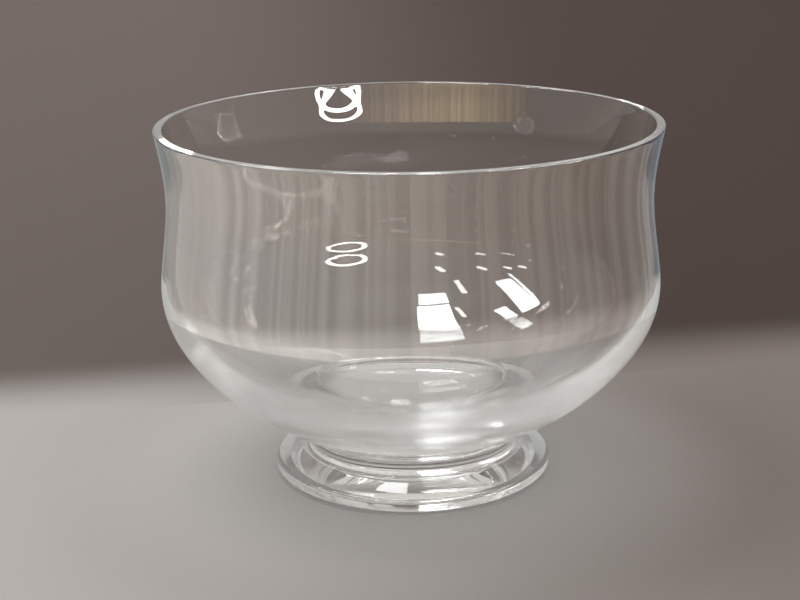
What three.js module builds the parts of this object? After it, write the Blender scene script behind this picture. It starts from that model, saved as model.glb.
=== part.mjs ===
// A clear glass bowl on a foot, blown and shaped by hand. It is made of three gathers of glass
// that are fused together while hot: the bowl itself, a short collar below it and a round foot.
// Each piece is a solid of revolution, and the pieces meet on flat discs.
//
// Millimetres, +Z up. The origin is the centre of the foot's underside, where the bowl stands.
import * as THREE from "three";

// The bowl's outside, from its seat on the collar up to the mouth.
const seatRadius = 55; // disc on which the bowl is fused to the collar
const bellyRadius = 124.9; // widest place of the body
const waistRadius = 120.5; // narrowest place of the wall, below the mouth
const mouthRadius = 125; // outer edge of the rim
const bellyRise = 78; // seat up to the belly
const waistRise = 45; // belly up to the waist
const mouthRise = 35; // waist up to the rim

// How the outside runs from one of those places to the next.
const undersideAngle = THREE.MathUtils.degToRad(27.4); // slope of the underside at the seat
const undersideReach = 33.2; // how far the underside keeps that slope
const bellyFullness = 34.7; // roundness of the body below the belly
const shoulderEase = 11.5; // how softly the belly turns in
const waistEaseBelow = 15.1; // how softly the wall comes upright under the waist
const waistEaseAbove = 11.9; // and how softly it leaves the waist
const mouthLean = THREE.MathUtils.degToRad(11.4); // outward lean of the wall at the mouth
const mouthReach = 11.9; // how far below the rim that lean holds

// The glass between the outside and the hollow.
const wallThickness = 4.4; // at the mouth and the waist
const bellyWall = 5; // at the belly
const floorThickness = 10; // under the middle of the hollow, down to the seat
const floorReach = 70; // how far out the hollow's floor runs before it turns up
const hollowFullness = 28.5; // roundness of the hollow below the belly
const rimBevel = 0.6; // ground edges of the flat rim

// The collar, a short waisted neck between bowl and foot.
const collarHeight = 9;
const collarWaistRadius = 53.2;
const collarWaistRise = 5; // foot's top up to the collar's waist
const collarBaseRadius = 56.2; // disc on which the collar is fused to the foot

// The foot, a thick disc whose top slopes up to the collar.
const footRadius = 70.7;
const footEdge = 8.4; // thickness at the outer edge
const footRise = 4.6; // rise of the sloping top, from the edge to the collar
const footTopRound = 2.4; // rounded upper edge
const footBottomRound = 0.9; // rounded lower edge
const edgeSlope = THREE.MathUtils.degToRad(13); // slope of the top where it leaves the edge
const collarSlope = THREE.MathUtils.degToRad(21); // and where it reaches the collar
const slopeReach = 4; // how far the top keeps each of those slopes
const ringWidth = 9; // flat ring that touches the table
const undersideHollow = 1.6; // depth of the shallow hollow inside that ring

// Fineness of the faceted surfaces.
const facets = 64; // round the axis
const chord = 7; // length of one step along a curved outline
const roundSteps = 3; // steps of a rounded edge
const coveSteps = 4; // steps of a cove of the collar

// Heights that follow from the pieces below.
const footTop = footEdge + footRise;
const seatHeight = footTop + collarHeight;
const bellyHeight = seatHeight + bellyRise;
const waistHeight = bellyHeight + waistRise;
const rimHeight = waistHeight + mouthRise;

// A point of an outline: distance from the axis, and height.
function at(radius, height) {
  return new THREE.Vector2(radius, height);
}

// A curved stretch of an outline between two points, steered by a handle at each end.
// Its first point is left out, because the stretch before it ends there.
function bend(from, leave, arrive, to) {
  const curve = new THREE.CubicBezierCurve(from, leave, arrive, to);
  const steps = Math.max(4, Math.round(curve.getLength() / chord));
  return curve.getPoints(steps).slice(1);
}

// A rounded outer edge: a quarter of a circle from angle start, counter-clockwise.
function roundEdge(centre, radius, start) {
  const arc = new THREE.EllipseCurve(centre.x, centre.y, radius, radius, start, start + Math.PI / 2);
  return arc.getPoints(roundSteps);
}

// A hollow-rounded stretch in the corner between two points, without its first point.
function cove(from, corner, to) {
  return new THREE.QuadraticBezierCurve(from, corner, to).getPoints(coveSteps).slice(1);
}

// The bowl's outline: across the seat, up the outside, over the rim and down the hollow.
function bowlOutline() {
  const seat = at(seatRadius, seatHeight);
  const belly = at(bellyRadius, bellyHeight);
  const waist = at(waistRadius, waistHeight);
  const mouth = at(mouthRadius, rimHeight - rimBevel);
  const leanOut = mouthReach * Math.sin(mouthLean);
  const leanUp = mouthReach * Math.cos(mouthLean);

  const innerMouth = at(mouthRadius - wallThickness, rimHeight - rimBevel);
  const innerWaist = at(waistRadius - wallThickness, waistHeight);
  const innerBelly = at(bellyRadius - bellyWall, bellyHeight);
  const floor = at(0, seatHeight + floorThickness);

  return [
    at(0, seatHeight),
    seat,
    ...bend(
      seat,
      at(
        seat.x + undersideReach * Math.cos(undersideAngle),
        seat.y + undersideReach * Math.sin(undersideAngle),
      ),
      at(belly.x, belly.y - bellyFullness),
      belly,
    ),
    ...bend(belly, at(belly.x, belly.y + shoulderEase), at(waist.x, waist.y - waistEaseBelow), waist),
    ...bend(
      waist,
      at(waist.x, waist.y + waistEaseAbove),
      at(mouth.x - leanOut, mouth.y - leanUp),
      mouth,
    ),
    at(mouth.x - rimBevel, rimHeight),
    at(innerMouth.x + rimBevel, rimHeight),
    innerMouth,
    ...bend(
      innerMouth,
      at(innerMouth.x - leanOut, innerMouth.y - leanUp),
      at(innerWaist.x, innerWaist.y + waistEaseAbove),
      innerWaist,
    ),
    ...bend(
      innerWaist,
      at(innerWaist.x, innerWaist.y - waistEaseBelow),
      at(innerBelly.x, innerBelly.y + shoulderEase),
      innerBelly,
    ),
    ...bend(
      innerBelly,
      at(innerBelly.x, innerBelly.y - hollowFullness),
      at(floorReach, floor.y),
      floor,
    ),
  ];
}

// The collar's outline: across the foot's top, in to the waist and out to the bowl's seat.
function collarOutline() {
  const base = at(collarBaseRadius, footTop);
  const waist = at(collarWaistRadius, footTop + collarWaistRise);
  const seat = at(seatRadius, seatHeight);
  return [
    at(0, footTop),
    base,
    ...cove(base, at(waist.x, base.y), waist),
    ...cove(waist, at(waist.x, seat.y), seat),
    at(0, seatHeight),
  ];
}

// The foot's outline: the hollow underside, the standing ring, the edge and the sloping top.
function footOutline() {
  const ringOuter = footRadius - footBottomRound;
  const ringInner = ringOuter - ringWidth;
  const hollow = at(0, undersideHollow);
  const turn = at(ringInner / 2, undersideHollow);
  const shoulder = at(footRadius - footTopRound, footEdge);
  const base = at(collarBaseRadius, footTop);
  return [
    hollow,
    ...bend(hollow, turn, turn, at(ringInner, 0)),
    ...roundEdge(at(ringOuter, footBottomRound), footBottomRound, -Math.PI / 2),
    ...roundEdge(at(shoulder.x, footEdge - footTopRound), footTopRound, 0),
    ...bend(
      shoulder,
      at(shoulder.x - slopeReach * Math.cos(edgeSlope), shoulder.y + slopeReach * Math.sin(edgeSlope)),
      at(base.x + slopeReach * Math.cos(collarSlope), base.y - slopeReach * Math.sin(collarSlope)),
      base,
    ),
    at(0, footTop),
  ];
}

// A piece of glass: its outline turned once round the upright axis.
function turnedPiece(name, outline, colour) {
  const geometry = new THREE.LatheGeometry(outline, facets);
  geometry.rotateX(Math.PI / 2);
  const material = new THREE.MeshStandardMaterial({
    color: colour,
    roughness: 0.03,
    metalness: 0,
    transparent: true,
    opacity: 0.35,
  });
  const piece = new THREE.Mesh(geometry, material);
  piece.name = name;
  return piece;
}

const footedBowl = new THREE.Group();
footedBowl.add(turnedPiece("bowl", bowlOutline(), 0xe6ebe9));
footedBowl.add(turnedPiece("stem_collar", collarOutline(), 0xdfe6e3));
footedBowl.add(turnedPiece("foot", footOutline(), 0xe0e7e5));

export default footedBowl;
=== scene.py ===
# %% [markdown]
# A footed bowl of clear blown glass.
# The real object is three gathers of clear glass, fused while they were hot: the blown bowl, a
# short collar and a round foot. All of it is transparent, so what the eye sees is only light that
# bends at the surfaces: through the wall, in the thick bottom, along the seams. The lesson
# therefore spends its effort on true surfaces, and on surroundings that are worth bending.
# The solids that carry the sizes are loaded first, and every piece here is made to their measures.

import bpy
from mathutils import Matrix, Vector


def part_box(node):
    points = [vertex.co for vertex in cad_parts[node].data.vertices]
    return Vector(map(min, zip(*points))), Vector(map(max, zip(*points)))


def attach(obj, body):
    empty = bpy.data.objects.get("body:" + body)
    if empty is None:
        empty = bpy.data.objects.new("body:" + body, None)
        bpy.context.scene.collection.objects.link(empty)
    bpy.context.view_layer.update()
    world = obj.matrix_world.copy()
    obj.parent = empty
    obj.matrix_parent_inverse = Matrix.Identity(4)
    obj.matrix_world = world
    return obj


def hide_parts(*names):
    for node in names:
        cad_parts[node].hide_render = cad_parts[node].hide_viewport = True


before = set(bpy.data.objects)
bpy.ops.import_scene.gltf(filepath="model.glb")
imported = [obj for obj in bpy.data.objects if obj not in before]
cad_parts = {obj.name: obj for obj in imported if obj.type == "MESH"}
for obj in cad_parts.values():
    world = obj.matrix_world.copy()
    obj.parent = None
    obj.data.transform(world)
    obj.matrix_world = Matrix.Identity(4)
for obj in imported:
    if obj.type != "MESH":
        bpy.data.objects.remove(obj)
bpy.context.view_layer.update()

# %% Tools that the cells below use
import math

import bmesh
import bpy
from mathutils import Matrix, Vector, noise
from mathutils.geometry import interpolate_bezier

MM = 0.001
scene = bpy.context.scene
scene.view_settings.view_transform = "Standard"

# %% [markdown]
# The camera.
# It stands a little less than a metre from the bowl and looks down on it, so that the mouth is a
# wide ellipse and the foot shows under the body. A longish lens keeps the ellipse calm. The
# distance, height and lens belong together: they come from fitting the mouth and the foot.

# %% Place the camera
camera_distance = 793.5 * MM  # from the bowl's axis
camera_height = 322.4 * MM
camera_dip = math.radians(16.45)  # how far it looks down
camera_pan = math.radians(0.4)
camera_roll = math.radians(-0.8)
sensor_width = 36.0
focal_length = 73.3

camera_data = bpy.data.cameras.new("camera")
camera_data.sensor_width = sensor_width
camera_data.lens = focal_length
camera = bpy.data.objects.new("camera", camera_data)
scene.collection.objects.link(camera)
scene.camera = camera
camera.matrix_world = (
    Matrix.Translation((0, -camera_distance, camera_height))
    @ Matrix.Rotation(camera_pan, 4, "Z")
    @ Matrix.Rotation(math.pi / 2 - camera_dip, 4, "X")
    @ Matrix.Rotation(camera_roll, 4, "Z")
)
print("camera at", [round(x, 3) for x in camera.matrix_world.translation])

# %% [markdown]
# Sizes.
# The mouth, the heights and the foot are read from the solids, so that the glass drawn here keeps
# their measures. The numbers below them only say how the outline swings between those places.

# %% Read the driving sizes
bowl_low, bowl_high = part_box("bowl")
_, collar_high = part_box("stem_collar")
_, foot_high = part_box("foot")

mouth_radius = bowl_high.x
rim_height = bowl_high.z
seat_height = bowl_low.z
collar_base_radius = collar_high.x
foot_top = foot_high.z
foot_radius = foot_high.x
print("mouth", round(mouth_radius, 4), "rim", round(rim_height, 4), "foot", round(foot_radius, 4))

# %% Sizes of the blown bowl
seat_radius = 55 * MM
belly_radius = 124.9 * MM
belly_height = 100 * MM
waist_radius = 120.5 * MM
waist_height = 145 * MM
wall = 4.4 * MM
waist_wall = 5.1 * MM
belly_wall = 5.5 * MM
inner_belly_height = 102 * MM
floor_thickness = 10 * MM
rim_round = 0.6 * MM
print("wall", wall, "m at the mouth and", belly_wall, "m at the belly")

# %% How the bowl's outline swings
underside_slope = math.radians(27.4)
underside_reach = 33.2 * MM
belly_fullness = 35.3 * MM
shoulder_ease = 11.5 * MM
waist_ease_below = 15.1 * MM
waist_ease_above = 11.9 * MM
mouth_lean = math.radians(11.4)
mouth_reach = 11.9 * MM
inner_mouth_lean = math.radians(13.1)
inner_mouth_reach = 12.6 * MM
inner_waist_ease = 13 * MM
floor_reach = 74.8 * MM
hollow_fullness = 30.1 * MM
print("the wall leans out by", round(math.degrees(mouth_lean), 1), "degrees at the mouth")

# %% Sizes of the collar and the foot
collar_waist_radius = 53.2 * MM
collar_waist_height = foot_top + 5 * MM
foot_edge = 8.4 * MM
foot_top_round = 2.4 * MM
foot_bottom_round = 0.9 * MM
edge_slope = math.radians(13)
collar_slope = math.radians(21)
slope_reach = 4 * MM
ring_width = 9 * MM
underside_hollow = 1.6 * MM
print("the foot's edge is", foot_edge, "m thick, and it stands on a ring", ring_width, "m wide")

# %% [markdown]
# Outlines.
# Blown and turned glass is round about one axis, so each piece is an outline turned once about it.
# A Screw modifier could turn a curve, but the seams and the unevenness of hot glass are easier to
# put in while the rings of points are made. So an outline here is a plain list of points, radius
# and height, that starts and ends on the axis. Its curved stretches are Bezier curves with the
# handles that a glass cutter's template would have.

# %% Helpers for outlines
chord = 1.5 * MM  # length of one step along a curve
fewest_steps = 8  # in a short curve
round_steps = 5


def at(radius, height):
    """A point of an outline."""
    return Vector((radius, height, 0))


def bend(start, leave, arrive, end):
    """A curved stretch between two points, without its first point."""
    count = max(fewest_steps, round((end - start).length / chord))
    return interpolate_bezier(start, leave, arrive, end, count + 1)[1:]


def round_edge(centre, radius, start):
    """A quarter of a circle from the angle start, counter-clockwise."""
    angles = [start + math.pi / 2 * i / round_steps for i in range(round_steps + 1)]
    return [centre + radius * at(math.cos(a), math.sin(a)) for a in angles]


print("one step of an outline is", chord, "m")

# %% [markdown]
# The bowl's outline.
# It runs across the flat seat, up the outside, over the ground rim and down the hollow. The hollow
# does not follow the outside: towards the bottom the glass gets thick, as it does in a heavy blown
# bowl, and that thick glass is what makes the pale crescent under the belly.


# %% Outline of the bowl
def bowl_outline():
    seat = at(seat_radius, seat_height)
    belly = at(belly_radius, belly_height)
    waist = at(waist_radius, waist_height)
    mouth = at(mouth_radius, rim_height - rim_round)
    underside = at(math.cos(underside_slope), math.sin(underside_slope)) * underside_reach
    lean = at(math.sin(mouth_lean), math.cos(mouth_lean)) * mouth_reach
    inner_mouth = mouth - at(wall, 0)
    inner_waist = waist - at(waist_wall, 0)
    inner_belly = at(belly_radius - belly_wall, inner_belly_height)
    inner_lean = at(math.sin(inner_mouth_lean), math.cos(inner_mouth_lean)) * inner_mouth_reach
    floor = at(0, seat_height + floor_thickness)
    outer_edge = at(mouth.x - rim_round, mouth.y)
    inner_edge = at(inner_mouth.x + rim_round, mouth.y)
    return [
        at(0, seat_height),
        seat,
        *bend(seat, seat + underside, belly - at(0, belly_fullness), belly),
        *bend(belly, belly + at(0, shoulder_ease), waist - at(0, waist_ease_below), waist),
        *bend(waist, waist + at(0, waist_ease_above), mouth - lean, mouth),
        *round_edge(outer_edge, rim_round, 0)[1:],
        *round_edge(inner_edge, rim_round, math.pi / 2),
        *bend(inner_mouth, inner_mouth - inner_lean, inner_waist + at(0, inner_waist_ease), inner_waist),
        *bend(
            inner_waist,
            inner_waist - at(0, waist_ease_below),
            inner_belly + at(0, shoulder_ease),
            inner_belly,
        ),
        *bend(inner_belly, inner_belly - at(0, hollow_fullness), at(floor_reach, floor.y), floor),
    ]


print("points in the bowl's outline:", len(bowl_outline()))

# %% [markdown]
# The collar and the foot.
# The collar is a ring of glass that was squeezed with the jacks, so it has a waist. The foot is a
# thick disc with a rounded upper edge. Its underside is slightly hollow, so that the bowl stands
# on a ring and does not rock.


# %% Outlines of the collar and the foot
def cove(start, corner, end):
    """A hollow-rounded stretch in the corner between two points, without its first point."""
    pull = 2 / 3
    return bend(start, start.lerp(corner, pull), end.lerp(corner, pull), end)


def collar_outline():
    base = at(collar_base_radius, foot_top)
    waist = at(collar_waist_radius, collar_waist_height)
    seat = at(seat_radius, seat_height)
    return [
        at(0, foot_top),
        base,
        *cove(base, at(waist.x, base.y), waist),
        *cove(waist, at(waist.x, seat.y), seat),
        at(0, seat_height),
    ]


def foot_outline():
    ring_outer = foot_radius - foot_bottom_round
    ring_inner = ring_outer - ring_width
    hollow = at(0, underside_hollow)
    turn = at(ring_inner / 2, underside_hollow)
    shoulder = at(foot_radius - foot_top_round, foot_edge)
    base = at(collar_base_radius, foot_top)
    leave = at(-math.cos(edge_slope), math.sin(edge_slope)) * slope_reach
    arrive = at(math.cos(collar_slope), -math.sin(collar_slope)) * slope_reach
    return [
        hollow,
        *bend(hollow, turn, turn, at(ring_inner, 0)),
        *round_edge(at(ring_outer, foot_bottom_round), foot_bottom_round, -math.pi / 2),
        *round_edge(at(shoulder.x, foot_edge - foot_top_round), foot_top_round, 0),
        *bend(shoulder, shoulder + leave, base + arrive, base),
        at(0, foot_top),
    ]


print("points in the collar:", len(collar_outline()), "and in the foot:", len(foot_outline()))

# %% [markdown]
# Unevenness.
# Hot glass is never quite true. Two kinds of error show here: a slow waviness all over, which
# makes straight reflections swim, and fine ring marks low on the body, where the tool held the
# turning glass. The waves are up to a tenth of a millimetre deep. The ring marks are shallower,
# and in the hollow shallower still. A bump could fake both in the mirror images, but only a true
# surface also bends the light that passes through, so they are put into the mesh. They fade out
# towards the seams, where the pieces have to meet exactly, and towards the ground rim.

# %% Waviness and ring marks
wave_length = 55 * MM
wave_depth = 0.1 * MM
ring_spacing = 4.2 * MM
ring_depth = 0.03 * MM
outer_ring_depth = 0.07 * MM
ring_limit = 105 * MM  # radius at which the ring marks have died out
outer_ring_limit = 100 * MM
ring_fade = 45 * MM
ring_calm = 3  # the more, the less one ring changes on its way round
seam_fade = 4 * MM
ring_centre = Vector((0.5 * MM, -0.4 * MM))


def smooth_step(low, high, value):
    """0 below low, 1 above high, and a smooth rise between them."""
    share = min(max((value - low) / (high - low), 0), 1)
    return share * share * (3 - 2 * share)


def waviness(point, seed, length):
    """The slow unevenness at a point, about -1 to 1."""
    return noise.noise(point / length + Vector((seed, seed / 2, -seed)))


def ring_marks(point, seed, spacing):
    """Fine rings about the axis, nearly concentric, about -1 to 1."""
    radius = (Vector((point.x, point.y)) - ring_centre).length
    turn = noise.noise(point / (wave_length / 2))
    return noise.noise(Vector((radius / spacing, turn / ring_calm, seed)))


print("waviness", wave_depth, "m over", wave_length, "m; ring marks", outer_ring_depth, "m")

# %% [markdown]
# From an outline to a mesh.
# Each point of the outline becomes a ring of vertices, and the points on the axis become single
# ones. The faces between the rings all turn the same way round, so the mesh is one closed body
# with its faces pointing out. A fine ring matters more than usual: the light is bent by the
# surface twice or more, and every flat would be seen as a stripe.

# %% Turn an outline into a closed mesh
segments = 320
crease_angle = math.radians(28)
touching = 0.01 * MM  # what lies closer than this counts as the same place
cubic_centimetre = 1e-6


def rings_of(body, outline):
    """One ring of vertices for each point of the outline."""
    rings = []
    for radius, height, _ in outline:
        if radius < touching:
            rings.append([body.verts.new((0, 0, height))])
            continue
        angles = [2 * math.pi * i / segments for i in range(segments)]
        rings.append([body.verts.new((radius * math.cos(a), radius * math.sin(a), height)) for a in angles])
    return rings


def join_rings(body, rings):
    """Faces between neighbouring rings, pointing out."""
    for below, above in zip(rings, rings[1:]):
        for i in range(segments):
            j = (i + 1) % segments
            if len(below) == 1:
                body.faces.new((below[0], above[j], above[i]))
            elif len(above) == 1:
                body.faces.new((below[i], below[j], above[0]))
            else:
                body.faces.new((below[i], below[j], above[j], above[i]))


def turned_piece(name, outline, unevenness, joint_heights):
    """A closed glass body. Faces that lie flat at a joint's height get the second material."""
    body = bmesh.new()
    join_rings(body, rings_of(body, outline))
    body.normal_update()
    moves = [vertex.normal * unevenness(vertex) for vertex in body.verts]
    for vertex, move in zip(body.verts, moves):
        vertex.co += move
    for face in body.faces:
        face.smooth = True
        heights = [vertex.co.z for vertex in face.verts]
        at_joint = any(max(abs(z - joint) for z in heights) < touching for joint in joint_heights)
        face.material_index = int(at_joint)
    volume = body.calc_volume(signed=True)
    mesh = bpy.data.meshes.new(name)
    body.to_mesh(mesh)
    body.free()
    mesh.set_sharp_from_angle(angle=crease_angle)
    piece = bpy.data.objects.new(name, mesh)
    scene.collection.objects.link(piece)
    print(name, len(mesh.polygons), "faces,", round(volume / cubic_centimetre, 1), "cubic centimetres")
    return piece


# %% [markdown]
# The three pieces.
# Each takes the waviness with a seed of its own, so that the inside and the outside of a wall do
# not wander together. The collar and the foot are small, so their waves are shorter and half as
# deep. The bowl has the ring marks too, strongest near the collar, where it was held.

# %% How uneven each piece is
upright = 0.9  # a normal this steep belongs to a floor
hollow_seed = 7
outside_seed = 2
hollow_ring_seed = 5
outside_ring_seed = 1
collar_seed = 11
foot_seed = 17
collar_wave_length = wave_length / 3
foot_wave_length = wave_length / 2
small_wave_depth = wave_depth / 2


def faces_hollow(vertex):
    """True where the surface looks into the bowl."""
    point, normal = vertex.co, vertex.normal
    return point.x * normal.x + point.y * normal.y < 0 or normal.z > upright


def bowl_unevenness(vertex):
    point = vertex.co
    radius = math.hypot(point.x, point.y)
    seam = smooth_step(0, seam_fade, point.z - seat_height)
    rim = 1 - smooth_step(rim_height - seam_fade, rim_height - rim_round, point.z)
    if faces_hollow(vertex):
        seed, ring_seed, depth, limit = hollow_seed, hollow_ring_seed, ring_depth, ring_limit
    else:
        seed, ring_seed, depth, limit = outside_seed, outside_ring_seed, outer_ring_depth, outer_ring_limit
    waves = wave_depth * waviness(point, seed, wave_length)
    marks = depth * ring_marks(point, ring_seed, ring_spacing)
    marks *= 1 - smooth_step(limit - ring_fade, limit, radius)
    return (waves + marks) * seam * rim


def collar_unevenness(vertex):
    seam = smooth_step(0, seam_fade, seat_height - vertex.co.z)
    seam *= smooth_step(0, seam_fade, vertex.co.z - foot_top)
    return small_wave_depth * seam * waviness(vertex.co, collar_seed, collar_wave_length)


def foot_unevenness(vertex):
    seam = smooth_step(0, seam_fade, foot_top - vertex.co.z)
    seam *= smooth_step(0, foot_bottom_round, vertex.co.z)
    return small_wave_depth * seam * waviness(vertex.co, foot_seed, foot_wave_length)


print("waves of", wave_depth, "m on the bowl and", small_wave_depth, "m on the collar and the foot")

# %% Make the bowl, the collar and the foot
blown_bowl = turned_piece("blown_bowl", bowl_outline(), bowl_unevenness, [seat_height])
squeezed_collar = turned_piece(
    "squeezed_collar", collar_outline(), collar_unevenness, [seat_height, foot_top]
)
pressed_foot = turned_piece("pressed_foot", foot_outline(), foot_unevenness, [foot_top])

for piece, node in ((blown_bowl, "bowl"), (squeezed_collar, "stem_collar"), (pressed_foot, "foot")):
    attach(piece, "root")
    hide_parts(node)

# %% [markdown]
# Helpers for materials.
# A material is a tree of nodes, and a few kinds of node come back all the time: a sum or a product,
# a soft step between two values, the parts of a position, a mix of two colours, noise. Each helper
# makes one of them, and takes plain numbers or the sockets of other nodes.


# %% Helpers for material trees
def feed(tree, socket, operand):
    """Set a socket to a number or a colour, or link another node's socket to it."""
    if isinstance(operand, (int, float, tuple)):
        socket.default_value = operand
    else:
        tree.links.new(operand, socket)


def math_node(tree, operation, *operands):
    """A Math node with one to three operands."""
    node = tree.nodes.new("ShaderNodeMath")
    node.operation = operation
    for socket, operand in zip(node.inputs, operands):
        feed(tree, socket, operand)
    return node.outputs[0]


def soft_band(tree, value, low, high):
    """A smooth rise from 0 to 1 while value goes from low to high."""
    node = tree.nodes.new("ShaderNodeMapRange")
    node.interpolation_type = "SMOOTHSTEP"
    for label, operand in (("Value", value), ("From Min", low), ("From Max", high)):
        feed(tree, node.inputs[label], operand)
    return node.outputs["Result"]


def xyz_of(tree, vector):
    """The parts of a vector, under the labels X, Y and Z."""
    node = tree.nodes.new("ShaderNodeSeparateXYZ")
    tree.links.new(vector, node.inputs[0])
    return node.outputs


def mix_colours(tree, factor, first, second, blend="MIX"):
    node = tree.nodes.new("ShaderNodeMix")
    node.data_type = "RGBA"
    node.blend_type = blend
    for label, operand in (("Factor", factor), ("A", first), ("B", second)):
        feed(tree, node.inputs[label], operand)
    return node.outputs["Result"]


def new_material(name):
    """A material, its tree and its Principled shader."""
    material = bpy.data.materials.new(name)
    material.use_nodes = True
    return material, material.node_tree, material.node_tree.nodes["Principled BSDF"]


material_helpers = (feed, math_node, soft_band, xyz_of, mix_colours, new_material)
print("helpers for materials:", [helper.__name__ for helper in material_helpers])

# %% [markdown]
# Effects that the glass pieces share.
# Three small groups hold what changes over the surface. Ripple is the fine unevenness of fire
# polish, as a height for a bump. Water film is the faint dullness that water leaves in the hollow.
# Table wear is the band of fine scratches where the foot has stood. Each gives only a number, and
# every material places the groups with values of its own.

# %% Build the shared effects
noise_detail = 3
along_the_turn = (0.35, 0.35, 1)  # stretches the ripple round the axis
film_patches = (0.1, 0.6)  # noise values between which the film sets in
film_start = 12 * MM  # height over which it sets in above the bottom
scratch_patches = (0.35, 0.6)


def new_group(name, inputs, outputs):
    """An empty shader node group with float sockets, and its input and output nodes."""
    group = bpy.data.node_groups.new(name, "ShaderNodeTree")
    for label, value in inputs:
        socket = group.interface.new_socket(label, in_out="INPUT", socket_type="NodeSocketFloat")
        socket.default_value = value
    for label in outputs:
        group.interface.new_socket(label, in_out="OUTPUT", socket_type="NodeSocketFloat")
    return group, group.nodes.new("NodeGroupInput"), group.nodes.new("NodeGroupOutput")


def noise_at(tree, coordinates, scale, stretch=(1, 1, 1)):
    """Noise in the piece's own coordinates, squeezed by stretch."""
    mapping = tree.nodes.new("ShaderNodeMapping")
    mapping.inputs["Scale"].default_value = stretch
    texture = tree.nodes.new("ShaderNodeTexNoise")
    texture.inputs["Detail"].default_value = noise_detail
    tree.links.new(coordinates, mapping.inputs["Vector"])
    tree.links.new(mapping.outputs["Vector"], texture.inputs["Vector"])
    tree.links.new(scale, texture.inputs["Scale"])
    return texture.outputs["Fac"]


def make_ripple():
    group, given, result = new_group("fire_polish_ripple", [("Scale", 60.0)], ["Height"])
    place = group.nodes.new("ShaderNodeTexCoord").outputs["Object"]
    ripple = noise_at(group, place, given.outputs["Scale"], along_the_turn)
    group.links.new(ripple, result.inputs["Height"])
    return group


def make_water_film():
    heights = [("Bottom", 34 * MM), ("Top", 90 * MM), ("Softness", 20 * MM)]
    group, given, result = new_group("water_film", [*heights, ("Tilt", 0.2), ("Scale", 40.0)], ["Mask"])
    place = group.nodes.new("ShaderNodeTexCoord").outputs["Object"]
    patches = soft_band(group, noise_at(group, place, given.outputs["Scale"]), *film_patches)
    parts = xyz_of(group, place)
    lean = math_node(group, "MULTIPLY", parts["Y"], given.outputs["Tilt"])
    level = math_node(group, "ADD", parts["Z"], lean)
    start = math_node(group, "SUBTRACT", given.outputs["Top"], given.outputs["Softness"])
    below = math_node(group, "SUBTRACT", 1.0, soft_band(group, level, start, given.outputs["Top"]))
    full = math_node(group, "ADD", given.outputs["Bottom"], film_start)
    above = soft_band(group, parts["Z"], given.outputs["Bottom"], full)
    film = math_node(group, "MULTIPLY", above, below)
    group.links.new(math_node(group, "MULTIPLY", patches, film), result.inputs["Mask"])
    return group


def make_table_wear():
    inputs = [("Reach", 0.6 * MM), ("Scale", 900.0)]
    group, given, result = new_group("table_wear", inputs, ["Mask"])
    place = group.nodes.new("ShaderNodeTexCoord").outputs["Object"]
    above = soft_band(group, xyz_of(group, place)["Z"], 0.0, given.outputs["Reach"])
    near = math_node(group, "SUBTRACT", 1.0, above)
    scratches = soft_band(group, noise_at(group, place, given.outputs["Scale"]), *scratch_patches)
    group.links.new(math_node(group, "MULTIPLY", near, scratches), result.inputs["Mask"])
    return group


ripple_group = make_ripple()
water_film_group = make_water_film()
table_wear_group = make_table_wear()
print("shared effects:", [group.name for group in (ripple_group, water_film_group, table_wear_group)])

# %% [markdown]
# Clear glass.
# One Principled shader with full transmission does the bending and the mirroring. A renderer that
# does not trace the light of lamps through glass would give the bowl a solid black shadow, so for
# shadow rays the glass is a tinted film instead, darker where the wall is seen edge on: that is
# what a glass shadow looks like, pale with darker rings. The roughness is zero, and rises only
# where the film or the wear lies.

# %% Make the glass materials
glass_ior = 1.5
clean_glass = (0.985, 0.99, 0.985, 1)
film_glass = (0.95, 0.955, 0.95, 1)
clean_roughness = 0.0
film_roughness = 0.2
worn_roughness = 0.15
shadow_face_on = (0.975, 0.975, 0.975, 1)
shadow_edge_on = (0.8, 0.8, 0.8, 1)
shadow_blend = 0.35  # how early the edge's tone sets in
no_reach = 0.1 * MM  # a film or wear so low that the piece has none


def place_group(tree, group, output, **values):
    node = tree.nodes.new("ShaderNodeGroup")
    node.node_tree = group
    for label, value in values.items():
        node.inputs[label].default_value = value
    return node.outputs[output]


def glass_shadow(tree):
    """A clear film for shadow rays, darker where it is seen edge on."""
    facing = tree.nodes.new("ShaderNodeLayerWeight")
    facing.inputs["Blend"].default_value = shadow_blend
    tint = mix_colours(tree, facing.outputs["Facing"], shadow_face_on, shadow_edge_on)
    film = tree.nodes.new("ShaderNodeBsdfTransparent")
    tree.links.new(tint, film.inputs["Color"])
    return film.outputs["BSDF"]


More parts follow.
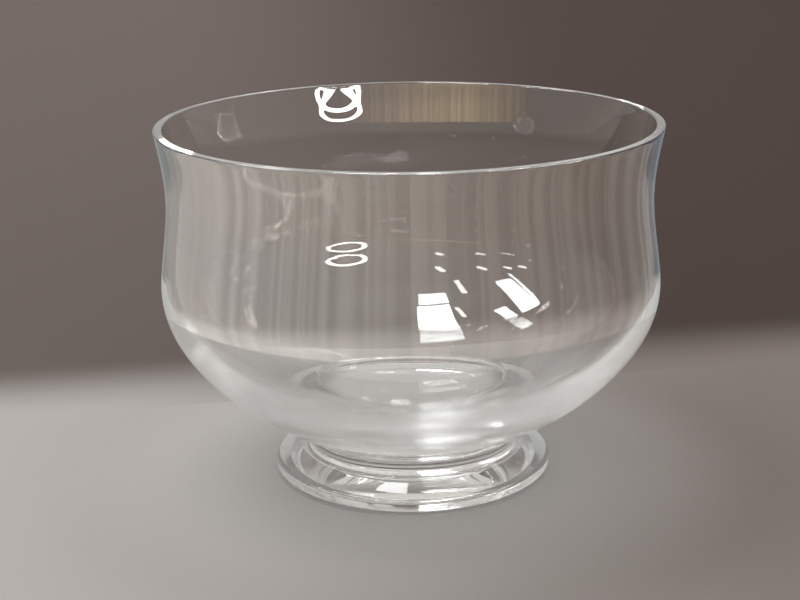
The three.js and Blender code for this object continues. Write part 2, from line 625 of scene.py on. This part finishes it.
def glass_material(name, ripple_scale, ripple_depth, film_top, wear_reach):
    material, tree, glass = new_material(name)
    glass.inputs["IOR"].default_value = glass_ior
    glass.inputs["Transmission Weight"].default_value = 1.0

    film = place_group(tree, water_film_group, "Mask", Top=film_top)
    wear = place_group(tree, table_wear_group, "Mask", Reach=wear_reach)
    tree.links.new(mix_colours(tree, film, clean_glass, film_glass), glass.inputs["Base Color"])
    dull = math_node(tree, "MULTIPLY_ADD", film, film_roughness, clean_roughness)
    rough = math_node(tree, "MULTIPLY", wear, worn_roughness)
    tree.links.new(math_node(tree, "MAXIMUM", dull, rough), glass.inputs["Roughness"])

    bump = tree.nodes.new("ShaderNodeBump")
    bump.inputs["Strength"].default_value = 1.0
    bump.inputs["Distance"].default_value = ripple_depth
    ripple = place_group(tree, ripple_group, "Height", Scale=ripple_scale)
    tree.links.new(ripple, bump.inputs["Height"])
    tree.links.new(bump.outputs["Normal"], glass.inputs["Normal"])

    to_lamps = tree.nodes.new("ShaderNodeMixShader")
    path = tree.nodes.new("ShaderNodeLightPath")
    tree.links.new(path.outputs["Is Shadow Ray"], to_lamps.inputs["Fac"])
    tree.links.new(glass.outputs["BSDF"], to_lamps.inputs[1])
    tree.links.new(glass_shadow(tree), to_lamps.inputs[2])
    tree.links.new(to_lamps.outputs["Shader"], tree.nodes["Material Output"].inputs["Surface"])
    return material


def fused_seam():
    """The flat faces where two pieces have melted into one: light passes straight through."""
    material, tree, _ = new_material("fused_seam")
    tree.nodes.clear()
    clear = tree.nodes.new("ShaderNodeBsdfTransparent")
    output = tree.nodes.new("ShaderNodeOutputMaterial")
    tree.links.new(clear.outputs["BSDF"], output.inputs["Surface"])
    return material


mirrored = ((glass_ior - 1) / (glass_ior + 1)) ** 2
print("share of light that glass mirrors head on:", round(mirrored, 3))

# %% Give each piece its glass
seam_material = fused_seam()
# Piece, scale and depth of its ripple, top of the water film, height that the table wear reaches.
for piece, scale, depth, film_top, wear_reach in (
    (blown_bowl, 45.0, 0.02 * MM, 62 * MM, no_reach),
    (squeezed_collar, 90.0, 0.02 * MM, no_reach, no_reach),
    (pressed_foot, 90.0, 0.02 * MM, no_reach, 0.6 * MM),
):
    piece.data.materials.append(glass_material(piece.name + "_glass", scale, depth, film_top, wear_reach))
    piece.data.materials.append(seam_material)
    print(piece.name, [material.name for material in piece.data.materials])

# %% [markdown]
# The cloth.
# Clear glass shows whatever stands behind it, so the cloth is part of the picture: pale where it
# lies. Where it hangs, and on the right, its colour is painted darker: painted shade for the light
# that falls less there. Glass also gathers light and throws it on the cloth under and round the
# foot. Tracing that light takes very long, so the cloth glows faintly there instead, which gives the
# same soft patch.

# %% Sizes and colours of the cloth
floor_colour = (0.488, 0.465, 0.45, 1)
cloth_roughness = 0.9
cloth_gloss = 0.1
# Painted shade: the cloth's colour is darkened towards the right, where less light falls on it.
painted_right_shade = (0.53, 0.47, 0.45, 1)  # how much darker the cloth is on the right
shade_left = -100 * MM
shade_right = 220 * MM
gathered_colour = (1.0, 0.96, 0.92, 1)  # the light that the glass gathers on the cloth
gathered_middle = 0.5  # its strength under the middle of the foot
gathered_edge = 0.17  # and at the foot's edge
gathered_inner = (45 * MM, 62 * MM)  # it falls from one to the other between these radii
gathered_outer = (75 * MM, 190 * MM)  # and to nothing between these
# Painted shade: the hanging cloth is the floor's cloth, painted darker where it rises, as less light falls
# on it.
painted_backdrop_shade = (0.155, 0.125, 0.114, 1)
painted_shade_heights = (0.5 * MM, 16 * MM)  # heights between which the cloth turns as dark as the backdrop
print("cloth: floor", floor_colour[:3], "and backdrop", painted_backdrop_shade[:3])


# %% Make the cloth's materials
def matt_cloth(name):
    """Matt cloth without a colour: the material, its tree, its shader and its coordinates."""
    material, tree, cloth = new_material(name)
    cloth.inputs["Roughness"].default_value = cloth_roughness
    cloth.inputs["Specular IOR Level"].default_value = cloth_gloss
    return material, tree, cloth, tree.nodes.new("ShaderNodeTexCoord").outputs["Object"]


# Painted shade: darkens a colour towards the right.
def painted_shade_on_the_right(tree, place, colour):
    share = soft_band(tree, xyz_of(tree, place)["X"], shade_left, shade_right)
    return mix_colours(tree, share, colour, painted_right_shade, "MULTIPLY")


def laid_cloth():
    """Pale cloth with the light that the glass gathers on it."""
    material, tree, cloth, place = matt_cloth("laid_cloth")
    tree.links.new(painted_shade_on_the_right(tree, place, floor_colour), cloth.inputs["Base Color"])
    length = tree.nodes.new("ShaderNodeVectorMath")
    length.operation = "LENGTH"
    tree.links.new(place, length.inputs[0])
    inner = soft_band(tree, length.outputs["Value"], *gathered_inner)
    outer = soft_band(tree, length.outputs["Value"], *gathered_outer)
    middle = math_node(tree, "MULTIPLY_ADD", inner, gathered_edge - gathered_middle, gathered_middle)
    glow = math_node(tree, "MULTIPLY_ADD", outer, -gathered_edge, middle)
    cloth.inputs["Emission Color"].default_value = gathered_colour
    tree.links.new(glow, cloth.inputs["Emission Strength"])
    return material


def hanging_cloth():
    """Cloth with painted shade that darkens it with height, and that shows only its front."""
    material, tree, cloth, place = matt_cloth("hanging_cloth")
    dark = soft_band(tree, xyz_of(tree, place)["Z"], *painted_shade_heights)
    colour = mix_colours(tree, dark, floor_colour, painted_backdrop_shade)
    tree.links.new(painted_shade_on_the_right(tree, place, colour), cloth.inputs["Base Color"])
    back = tree.nodes.new("ShaderNodeNewGeometry")
    clear = tree.nodes.new("ShaderNodeBsdfTransparent")
    one_sided = tree.nodes.new("ShaderNodeMixShader")
    tree.links.new(back.outputs["Backfacing"], one_sided.inputs["Fac"])
    tree.links.new(cloth.outputs["BSDF"], one_sided.inputs[1])
    tree.links.new(clear.outputs["BSDF"], one_sided.inputs[2])
    tree.links.new(one_sided.outputs["Shader"], tree.nodes["Material Output"].inputs["Surface"])
    return material


print("the light gathered on the cloth ends", gathered_outer[1], "m from the axis")

# %% [markdown]
# The table and the backdrop.
# The table is one large flat face. A strip leaves it close behind the bowl, bends up and leans
# back, wider at the top than at the bottom and turned a little. It starts a tenth of a millimetre
# above the table, so that the two faces do not fight. Its back is clear, so that the bowl can be
# looked at from all sides.

# %% Make the floor and the backdrop
backdrop_start = 112 * MM  # from the axis to where the cloth starts to rise
backdrop_lift = 0.1 * MM
backdrop_bend = 40 * MM  # radius of its bend
backdrop_slope = math.radians(24)
backdrop_height = 200 * MM
backdrop_foot = (-265 * MM, 275 * MM)  # its left and right end where it starts
backdrop_top = (-325 * MM, 540 * MM)
backdrop_turn = math.radians(10.5)
floor_half = 3.0  # metres
bend_steps = 12


def plain_mesh(name, points, faces):
    mesh = bpy.data.meshes.new(name)
    mesh.from_pydata(points, [], faces)
    thing = bpy.data.objects.new(name, mesh)
    scene.collection.objects.link(thing)
    return thing


def make_backdrop():
    """A strip that leaves the floor, bends up and leans back behind the bowl."""
    line = []
    for i in range(bend_steps + 1):
        angle = backdrop_slope * i / bend_steps
        rise = backdrop_bend * (1 - math.cos(angle))
        line.append((backdrop_start + backdrop_bend * math.sin(angle), rise + backdrop_lift))
    last_y, last_z = line[-1]
    line.append((last_y + (backdrop_height - last_z) / math.tan(backdrop_slope), backdrop_height))
    points = []
    for y, z in line:
        for foot, top in zip(backdrop_foot, backdrop_top):
            points.append((foot + (top - foot) * z / backdrop_height, y, z))
    faces = [(2 * i, 2 * i + 1, 2 * i + 3, 2 * i + 2) for i in range(len(line) - 1)]
    strip = plain_mesh("backdrop", points, faces)
    strip.data.polygons.foreach_set("use_smooth", [True] * len(faces))
    strip.data.materials.append(hanging_cloth())
    strip.matrix_world = Matrix.Rotation(backdrop_turn, 4, "Z")
    strip.visible_glossy = False


corners = [(x * floor_half, y * floor_half, 0) for x, y in ((-1, -1), (1, -1), (1, 1), (-1, 1))]
floor = plain_mesh("floor", corners, [(0, 1, 2, 3)])
floor.data.materials.append(laid_cloth())
make_backdrop()
print("backdrop starts", backdrop_start, "m behind the axis")

# %% [markdown]
# The light.
# A wide soft lamp overhead and a sky, darker on the right, light the table at a plain level. The
# glass sees the sky but not the lamp, which would show in it as one more window.

# %% Light the table
lamp_place = (-0.4, 0.3, 1.5)
lamp_size = (1.4, 1.2)
lamp_power = 12.5
sky_colour = (1.0, 0.97, 0.925, 1)
sky_strength = 0.6
right_sky = (0.66, 0.64, 0.61, 1)
right_sky_range = (0.1, 0.75)  # sideways part of the direction in which it darkens

lamp_data = bpy.data.lights.new("soft_lamp", "AREA")
lamp_data.shape = "RECTANGLE"
lamp_data.size, lamp_data.size_y = lamp_size
lamp_data.energy = lamp_power
soft_lamp = bpy.data.objects.new("soft_lamp", lamp_data)
soft_lamp.location = lamp_place
soft_lamp.visible_glossy = False
soft_lamp.visible_transmission = False
scene.collection.objects.link(soft_lamp)

world = bpy.data.worlds.new("sky")
scene.world = world
world.use_nodes = True
sky_tree = world.node_tree
sky = sky_tree.nodes["Background"]
sky.inputs["Strength"].default_value = sky_strength
direction = xyz_of(sky_tree, sky_tree.nodes.new("ShaderNodeTexCoord").outputs["Generated"])
to_right = soft_band(sky_tree, direction["X"], *right_sky_range)
sky_tree.links.new(mix_colours(sky_tree, to_right, sky_colour, right_sky), sky.inputs["Color"])
print("lamp", lamp_power, "W and sky", sky_strength)

# %% [markdown]
# Cards that glow.
# Clear glass hardly shows plain light. It shows what its surfaces mirror, which is a twenty-fifth
# of it head on, so bright things are needed around it: roof windows, a few ceiling lamps, a ring
# lamp beside the bowl, and a pale room. Area lamps could do it, but they would light the cloth as
# well. Cards with an emission are simpler: they light nothing, and only the glass sees them.


# %% Helpers for glowing cards
def glow_material(name, radiance, colour):
    material, tree, _ = new_material(name)
    tree.nodes.clear()
    glow = tree.nodes.new("ShaderNodeEmission")
    glow.inputs["Color"].default_value = (*colour, 1)
    glow.inputs["Strength"].default_value = radiance
    output = tree.nodes.new("ShaderNodeOutputMaterial")
    tree.links.new(glow.outputs["Emission"], output.inputs["Surface"])
    return material


def glow_card(name, points, faces, material):
    """A card that glows, lights nothing and is not seen directly."""
    card = plain_mesh(name, points, faces)
    card.data.materials.append(material)
    card.visible_camera = False
    card.visible_diffuse = False
    card.visible_shadow = False
    return card


print("helpers for cards:", [helper.__name__ for helper in (glow_material, glow_card)])

# %% [markdown]
# Windows and lamps in the ceiling.
# Each roof window and lamp is one flat card, and the curve of the bowl gives its mirror image the
# slanted shape that it has on real glass. A ray that bounces off the outside of the wall counts as
# glossy. One that has been inside the glass counts as transmission. Two windows have a second
# card for that second kind of ray, shorter and dimmer, because the mirror images that come from
# the inner side of the wall are smaller and fainter.

# %% Where the windows and lamps are
ceiling_height = 1.5
daylight = (0.97, 0.99, 1.0)
window_light = 30.0
dim_window_light = 15.0
ceiling_lamp_colour = (1.0, 0.97, 0.9)
ceiling_lamp_light = 22.0

# Centre, width and length in metres, and turn in degrees.
windows = [
    (-0.17, 0.015, 0.215, 0.21, 0),
    (-0.158, 0.57, 0.225, 0.85, 0),
    (-0.938, 0.25, 0.245, 0.84, -2),
    (-1.11, 0.17, 0.045, 0.93, -5),
    (-0.684, 0.71, 0.12, 0.61, 9),
]
windows_through = [
    (-0.158, 0.665, 0.225, 0.47, 0),
    (-0.684, 0.83, 0.12, 0.38, 9),
]
ceiling_lamps = [
    (-0.49, -1.48, 0.11, 0.23, 19),
    (-0.34, -0.71, 0.075, 0.19, 16),
    (-0.436, -0.19, 0.05, 0.31, 1),
    (-0.325, 0.33, 0.03, 0.21, 8),
    (-1.28, -1.34, 0.12, 0.22, 36),
    (-0.875, -0.615, 0.075, 0.17, 24),
    (-1.94, -1.22, 0.13, 0.26, 36),
    (-1.29, -0.5, 0.08, 0.15, 36),
    (-1.6, -0.405, 0.11, 0.19, 36),
]
print("windows:", len(windows), "ceiling lamps:", len(ceiling_lamps))


# %% Hang them
def ceiling_cards(name, rows, radiance, colour, inside_the_glass=False):
    """Flat cards for one kind of ray: glossy, or transmission if it has been inside the glass."""
    material = glow_material(name, radiance, colour)
    for number, (x, y, width, length, turn) in enumerate(rows):
        rotation = Matrix.Rotation(math.radians(turn), 2)
        across = rotation @ Vector((width / 2, 0))
        along = rotation @ Vector((0, length / 2))
        corners = [Vector((x, y)) + i * across + j * along for i, j in ((-1, -1), (1, -1), (1, 1), (-1, 1))]
        points = [(*corner, ceiling_height) for corner in corners]
        card = glow_card(f"{name}_{number}", points, [(0, 1, 2, 3)], material)
        card.visible_glossy = not inside_the_glass
        card.visible_transmission = inside_the_glass


ceiling_cards("window", windows, window_light, daylight)
ceiling_cards("window_through", windows_through, dim_window_light, daylight, inside_the_glass=True)
ceiling_cards("ceiling_lamp", ceiling_lamps, ceiling_lamp_light, ceiling_lamp_colour)
print("cards in the ceiling:", len(windows) + len(windows_through) + len(ceiling_lamps))

# %% [markdown]
# A ring lamp.
# A ring that stands upright at the right of the bowl shows as two thin rings in the front wall and
# as a knot of rings in the far side of the mouth, and it whitens the left end of the rim. It is a
# flat ring of faces between two ellipses.

# %% A ring lamp beside the bowl
ring_place = Vector((141.5, -137.5, 233)) * MM
ring_across = Vector((38.5, 24.5, 0)) * MM
ring_up = Vector((-5.5, 8, 33.5)) * MM
ring_thickness = 0.13  # share of the radius
ring_segments = 96
ring_colour = (1.0, 0.97, 0.92)
ring_light = 40.0


def ring_lamp():
    points = []
    for i in range(ring_segments):
        angle = 2 * math.pi * i / ring_segments
        outward = ring_across * math.cos(angle) + ring_up * math.sin(angle)
        points.append(ring_place + outward * (1 - ring_thickness))
        points.append(ring_place + outward * (1 + ring_thickness))
    count = 2 * ring_segments
    faces = [(2 * i, 2 * i + 1, (2 * i + 3) % count, (2 * i + 2) % count) for i in range(ring_segments)]
    return glow_card("ring_lamp", points, faces, glow_material("ring_lamp", ring_light, ring_colour))


lamp_ring = ring_lamp()
print("ring lamp with", len(lamp_ring.data.polygons), "faces")

# %% [markdown]
# The pale room.
# A low wall round the table, seen only as a mirror image in the glass, gives it its pale veil. Its
# colour changes with the direction from the bowl: palest in front on the left, dimmer and warmer
# to the right, nearly dark behind, and a little cooler higher up. Soft upright streaks break it
# up, because a real room is never even. A higher and warmer wall stands farther off in front, and
# only the far inside of the mouth mirrors it.

# %% Sizes and colours of the room
room_radius = 300 * MM
room_bottom_and_top = (0, 185 * MM)
room_radiance = 5.2
room_fade = (120 * MM, 185 * MM)  # heights between which it dims
room_top_light = 0.5
room_streaks = 9.0
front_radius = 900 * MM
front_bottom_and_top = (190 * MM, 520 * MM)
front_radiance = 5.2
front_fade = (400 * MM, 520 * MM)
front_top_light = 0.6
front_streaks = 22.0
streak_detail = 4
streak_edges = (0.4, 0.6)  # noise values between which a streak turns dark
streak_depth = 0.38
left_streak_depth = 0.1  # on the far left, where hardly any show
streaks_start = (0.27, 0.31)  # shares of a turn between which they set in
cool_tint = (0.95, 1.0, 1.07, 1)  # of the wall's upper part
cool_heights = (75 * MM, 115 * MM)
plain_tint = (1.0, 1.0, 1.0, 1)
wall_steps = 72

# Share of a full turn, with the camera at one half, and the colour in that direction.
room_colours = [
    (0.0, (0.06, 0.06, 0.06)),
    (0.125, (0.095, 0.095, 0.09)),
    (0.17, (0.15, 0.15, 0.14)),
    (0.2, (0.22, 0.215, 0.195)),
    (0.25, (0.47, 0.45, 0.405)),
    (0.285, (0.74, 0.71, 0.64)),
    (0.35, (0.88, 0.84, 0.75)),
    (0.39, (0.84, 0.77, 0.67)),
    (0.5, (0.67, 0.58, 0.49)),
    (0.64, (0.43, 0.34, 0.28)),
    (0.78, (0.14, 0.12, 0.11)),
    (0.87, (0.07, 0.08, 0.085)),
]
front_colours = [
    (0.31, (0.15, 0.14, 0.13)),
    (0.36, (0.55, 0.42, 0.24)),
    (0.42, (1.0, 0.76, 0.42)),
    (0.49, (0.8, 0.6, 0.36)),
    (0.6, (0.15, 0.14, 0.13)),
]
print("colours round the room:", len(room_colours), "and in the wall in front:", len(front_colours))


# %% Helpers for the room
def colour_ramp(tree, value, stops):
    node = tree.nodes.new("ShaderNodeValToRGB")
    elements = node.color_ramp.elements
    middle = 0.5
    while len(elements) < len(stops):
        elements.new(middle)
    for element, (place, colour) in zip(elements, stops):
        element.position = place
        element.color = (*colour, 1)
    tree.links.new(value, node.inputs["Fac"])
    return node.outputs["Color"]


def streak_contrast(tree, turn, share, streak_count):
    """1 between the streaks, and less in them."""
    streaks = tree.nodes.new("ShaderNodeTexNoise")
    streaks.noise_dimensions = "1D"
    streaks.inputs["Scale"].default_value = streak_count
    streaks.inputs["Detail"].default_value = streak_detail
    tree.links.new(turn, streaks.inputs["W"])
    dark = math_node(tree, "SUBTRACT", 1.0, soft_band(tree, streaks.outputs["Fac"], *streak_edges))
    setting_in = soft_band(tree, share, *streaks_start)
    more_depth = streak_depth - left_streak_depth
    depth = math_node(tree, "MULTIPLY_ADD", setting_in, more_depth, left_streak_depth)
    return math_node(tree, "SUBTRACT", 1.0, math_node(tree, "MULTIPLY", dark, depth))


def streaked_material(name, radiance, colours, fade, top_light, top_tint, streak_count):
    material = glow_material(name, radiance, (1, 1, 1))
    tree = material.node_tree
    parts = xyz_of(tree, tree.nodes.new("ShaderNodeTexCoord").outputs["Object"])
    forward = math_node(tree, "MULTIPLY", parts["Y"], -1.0)
    turn = math_node(tree, "ARCTAN2", parts["X"], forward)
    share = math_node(tree, "MULTIPLY_ADD", turn, 1 / (2 * math.pi), 0.5)
    high = soft_band(tree, parts["Z"], *fade)
    wall_light = math_node(tree, "MULTIPLY_ADD", high, top_light - 1, 1.0)
    light = math_node(tree, "MULTIPLY", wall_light, streak_contrast(tree, turn, share, streak_count))
    cool = soft_band(tree, parts["Z"], *cool_heights)
    colour = mix_colours(tree, cool, colour_ramp(tree, share, colours), top_tint, "MULTIPLY")
    glow = next(node for node in tree.nodes if node.type == "EMISSION")
    tree.links.new(math_node(tree, "MULTIPLY", light, radiance), glow.inputs["Strength"])
    tree.links.new(colour, glow.inputs["Color"])
    return material


def curved_wall(name, radius, bottom_and_top, shares, material):
    """An upright wall round the axis, between two shares of a full turn."""
    first, last = shares
    points = []
    for i in range(wall_steps + 1):
        turn = 2 * math.pi * (first + (last - first) * i / wall_steps - 0.5)
        place = (radius * math.sin(turn), -radius * math.cos(turn))
        points += [(*place, height) for height in bottom_and_top]
    faces = [(2 * i, 2 * i + 2, 2 * i + 3, 2 * i + 1) for i in range(wall_steps)]
    wall = glow_card(name, points, faces, material)
    wall.visible_transmission = False


print("the room is made of walls with", wall_steps, "steps")

# %% Make the room
room_material = streaked_material(
    "room", room_radiance, room_colours, room_fade, room_top_light, cool_tint, room_streaks
)
front_material = streaked_material(
    "room_in_front", front_radiance, front_colours, front_fade, front_top_light, plain_tint, front_streaks
)
front_shares = (front_colours[0][0], front_colours[-1][0])
curved_wall("room", room_radius, room_bottom_and_top, (0, 1), room_material)
curved_wall("room_in_front", front_radius, front_bottom_and_top, front_shares, front_material)
print("room", 2 * room_radius, "m across, and a wall in front over", front_shares, "of a turn")

# %% [markdown]
# Closing.
# Glass needs more bounces than other materials: a ray that goes through both walls and the thick
# bottom crosses a dozen surfaces. The light of lamps is not traced through the glass, which keeps
# the picture clean, and no ray's light is cut off.

# %% Set the bounces
bounces = 32
scene.cycles.max_bounces = bounces
scene.cycles.transmission_bounces = bounces
scene.cycles.glossy_bounces = bounces
scene.cycles.transparent_max_bounces = bounces
scene.cycles.caustics_reflective = False
scene.cycles.caustics_refractive = False
scene.cycles.sample_clamp_indirect = 0
